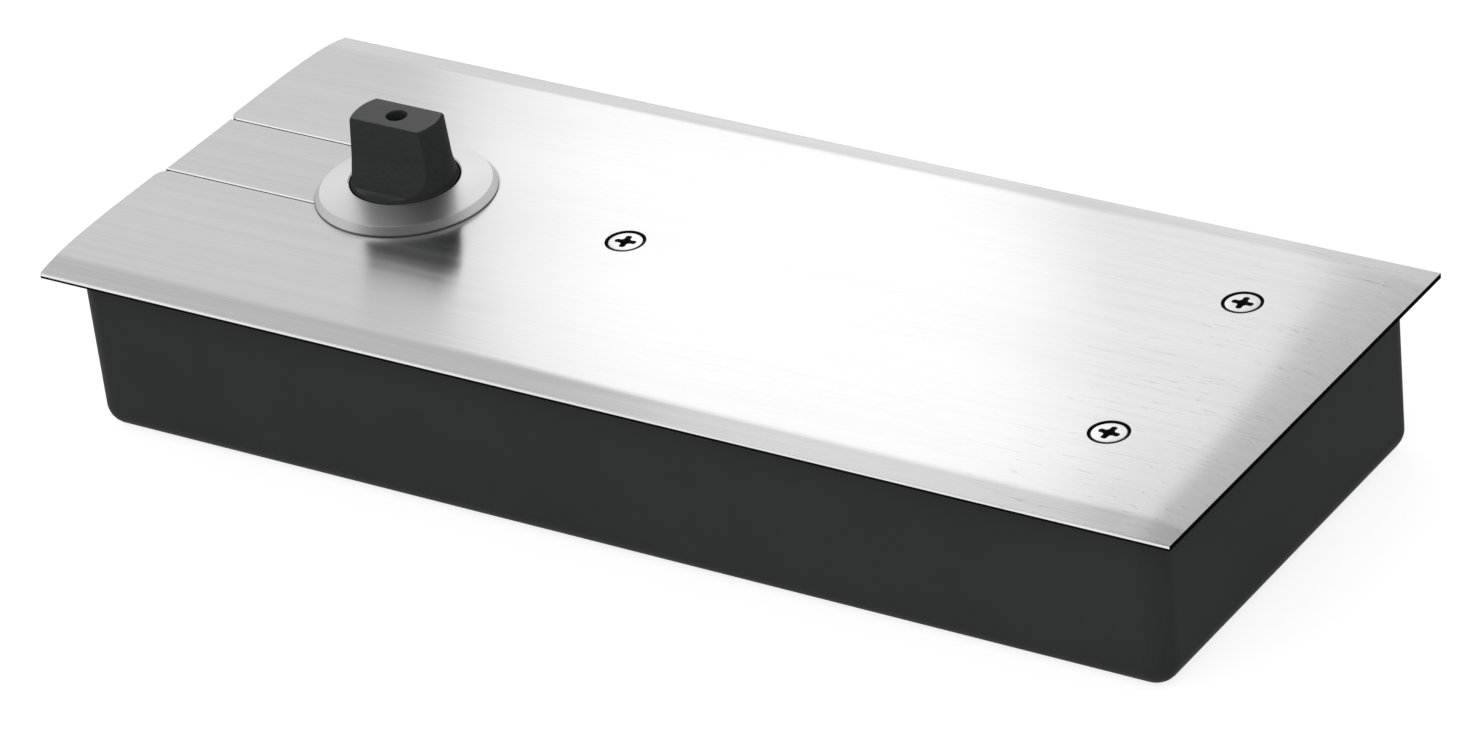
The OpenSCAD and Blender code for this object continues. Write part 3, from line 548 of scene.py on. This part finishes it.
def cross_recess(at, turn):
    """The tool for a cross recess: four tapering wings round a pointed middle."""
    bm = bmesh.new()
    half = CROSS_WIDTH / 2
    # Height, reach and half the width of a wing, from its top to its bottom
    levels = (
        (CROSS_OVER, CROSS_ARM, half),
        (0, CROSS_ARM, half),
        (-CROSS_DEPTH, CROSS_ARM * 0.42, CROSS_WIDTH * 0.34))
    for k in range(4):
        spin = Matrix.Rotation(turn + k * math.pi / 2, 3, "Z")
        loops = []
        for z, reach, side in levels:
            outline = (
                (-CROSS_LAP, -side), (reach - side * 0.5, -side), (reach, -side * 0.45),
                (reach, side * 0.45), (reach - side * 0.5, side), (-CROSS_LAP, side))
            loops.append([bm.verts.new(at + spin @ Vector((x, y, z))) for x, y in outline])
        bm.faces.new(loops[0])
        bm.faces.new(list(reversed(loops[2])))
        for a, b in zip(loops, loops[1:]):
            for i in range(6):
                bm.faces.new((a[i], b[i], b[(i + 1) % 6], a[(i + 1) % 6]))
    lathe(bm, [
        (0, CROSS_OVER), (CROSS_WIDTH * 0.92, CROSS_OVER), (CROSS_WIDTH * 0.92, 0),
        (CROSS_WIDTH * 0.45, -CROSS_DEPTH), (0, -CROSS_DEPTH * 1.25)], CROSS_STEPS, at)
    # The cut faces of the recess take this near-black painted shade
    return as_object("cross_tool", bm, RECESS_SHADE)


# A countersunk screw from the middle of its head down to its tip: radius, height under the top
SCREW_PROFILE = [
    (0, 0), (HEAD_R * 0.5, 0), (HEAD_R * 0.86, -0.00002), (HEAD_R * 0.91, -0.00005),
    (HEAD_R * 0.95, -0.00014), (HEAD_R, -0.00040), (HEAD_R * 0.99, -0.00052),
    (SHANK_R, -(HEAD_R - SHANK_R) - 0.0001), (SHANK_R, -0.0046), (SHANK_R, -0.0090),
    (SHANK_R * 0.8, -0.0094), (0, -0.0094)]
for number, (x, y, turn) in enumerate(SCREW_PLACES, 1):
    at = Vector((x, y, HEAD_TOP))
    bm = bmesh.new()
    lathe(bm, SCREW_PROFILE, HEAD_STEPS, at)
    head = as_object("cover_screw_%d" % number, bm, SCREW, HEAD_SMOOTH)
    # Near-black painted shade darkens the head's rim, below its flat top
    head.data.materials.append(RECESS_SHADE)
    for face in head.data.polygons:
        if face.center.z < HEAD_TOP - HEAD_RIM:
            face.material_index = 1
    cut(head, cross_recess(at, math.radians(turn)))
    head.data.set_sharp_from_angle(angle=math.radians(CUT_SMOOTH))
    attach(head, "case")
    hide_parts("cover_screws")

# The floor: paper white, and it glows a little where the camera or a shiny piece sees it
bm = bmesh.new()
bmesh.ops.create_grid(bm, x_segments=2, y_segments=2, size=FLOOR_HALF)
g = material("floor_white")
lit = g.node("ShaderNodeBsdfDiffuse")
paper = g.noise((30, 30, 30), detail=3.0, rough=0.5)
g.join(g.ramp(paper, [(0.3, shade(0.90)), (0.7, shade(0.92))]), lit.inputs["Color"])
path = g.node("ShaderNodeLightPath").outputs
seen = g.maths("MAXIMUM", path["Is Camera Ray"], path["Is Glossy Ray"])
glow = g.node("ShaderNodeEmission")
g.feed_all(glow, {"Color": (1, 1, 1, 1), "Strength": g.maths("MULTIPLY", seen, FLOOR_GLOW)})
both = g.node("ShaderNodeAddShader")
g.join(lit.outputs[0], both.inputs[0])
g.join(glow.outputs[0], both.inputs[1])
g.join(both.outputs[0], g.out.inputs["Surface"])
floor = as_object("floor", bm, g.owner)

# The world: white to the camera, a soft fill to matt surfaces, and to metal a studio that is bright
# beyond the part, duller overhead and dark on the camera's side.
world = bpy.data.worlds.new("studio")
bpy.context.scene.world = world
w = Graph(world, "ShaderNodeOutputWorld")
ray = w.node("ShaderNodeLightPath").outputs
toward = w.node("ShaderNodeTexCoord").outputs["Generated"]
overhead = w.levels(w.parts(toward)[2], OVERHEAD)
near_way = (math.sin(AZ), -math.cos(AZ), 0)
near = w.levels(w.vectors("DOT_PRODUCT", toward, near_way), NEAR_SIDE)
lip_lamp = w.levels(w.vectors("DOT_PRODUCT", toward, LIP_LAMP_WAY), LIP_LAMP)
studio = w.maths("ADD", w.maths("MULTIPLY", overhead, near), lip_lamp)
mirrored = w.maths("MULTIPLY", ray["Is Glossy Ray"], studio)
direct = w.maths("ADD", ray["Is Camera Ray"], mirrored)
either = w.maths("MAXIMUM", ray["Is Camera Ray"], ray["Is Glossy Ray"])
other = w.maths("SUBTRACT", 1.0, either, clamp=True)
fill = w.levels(w.vectors("DOT_PRODUCT", toward, FILL_WAY), FILL)
sky = w.node("ShaderNodeBackground")
w.join(w.maths("MULTIPLY_ADD", other, fill, direct), sky.inputs["Strength"])
w.join(sky.outputs[0], w.out.inputs["Surface"])

# The camera
back = Vector((math.sin(AZ) * math.cos(EL), -math.cos(AZ) * math.cos(EL), math.sin(EL)))
right = Vector((math.cos(AZ), math.sin(AZ), 0))
up = back.cross(right)
right_r = math.cos(ROLL) * right + math.sin(ROLL) * up
up_r = -math.sin(ROLL) * right + math.cos(ROLL) * up
place = (SHIFT_X * right_r + SHIFT_Y * up_r + DIST * back) / 1000 + Vector((0, 0, RIM_Z))
cam_data = bpy.data.cameras.new("camera")
cam_data.sensor_width = SENSOR
cam_data.lens = FOCAL_PX * SENSOR / PHOTO_PX
cam_data.clip_start, cam_data.clip_end = CLIP_NEAR, CLIP_FAR
cam = bpy.data.objects.new("camera", cam_data)
bpy.context.scene.collection.objects.link(cam)
cam.matrix_world = Matrix((
    (right_r.x, up_r.x, back.x, place.x),
    (right_r.y, up_r.y, back.y, place.y),
    (right_r.z, up_r.z, back.z, place.z),
    (0, 0, 0, 1)))
bpy.context.scene.camera = cam


def softbox(name, x0, x1, radiance):
    """A lamp seen in the cover from x0 to x1, so bright in itself as the radiance says. It stands
    where the cover mirrors the camera."""
    middle = Vector(((x0 + x1) / 2, 0.0, FLAT_Z))
    to_eye = (place - middle).normalized()
    mirror = Vector((-to_eye.x, -to_eye.y, to_eye.z))
    rise = right.cross(mirror)
    at = middle + BOX_AWAY * mirror + BOX_LIFT * rise
    to = middle + BOX_LIFT * rise
    wide = (x1 - x0) * math.cos(AZ) * BOX_SCALE
    data = bpy.data.lights.new(name, "AREA")
    data.shape = "RECTANGLE"
    data.size, data.size_y = wide, BOX_TALL
    data.energy = radiance * math.pi * wide * BOX_TALL
    lamp = bpy.data.objects.new(name, data)
    bpy.context.scene.collection.objects.link(lamp)
    lamp.location = at
    lamp.rotation_mode = "QUATERNION"
    lamp.rotation_quaternion = (to - at).to_track_quat("-Z", "Y")


# They whiten the middle of the cover
softbox("softbox", -0.072, 0.106, 0.52)
softbox("softbox_core", -0.040, 0.080, 0.12)
softbox("softbox_far", 0.106, 0.170, 0.30)

bpy.context.scene.view_settings.view_transform = "Standard"
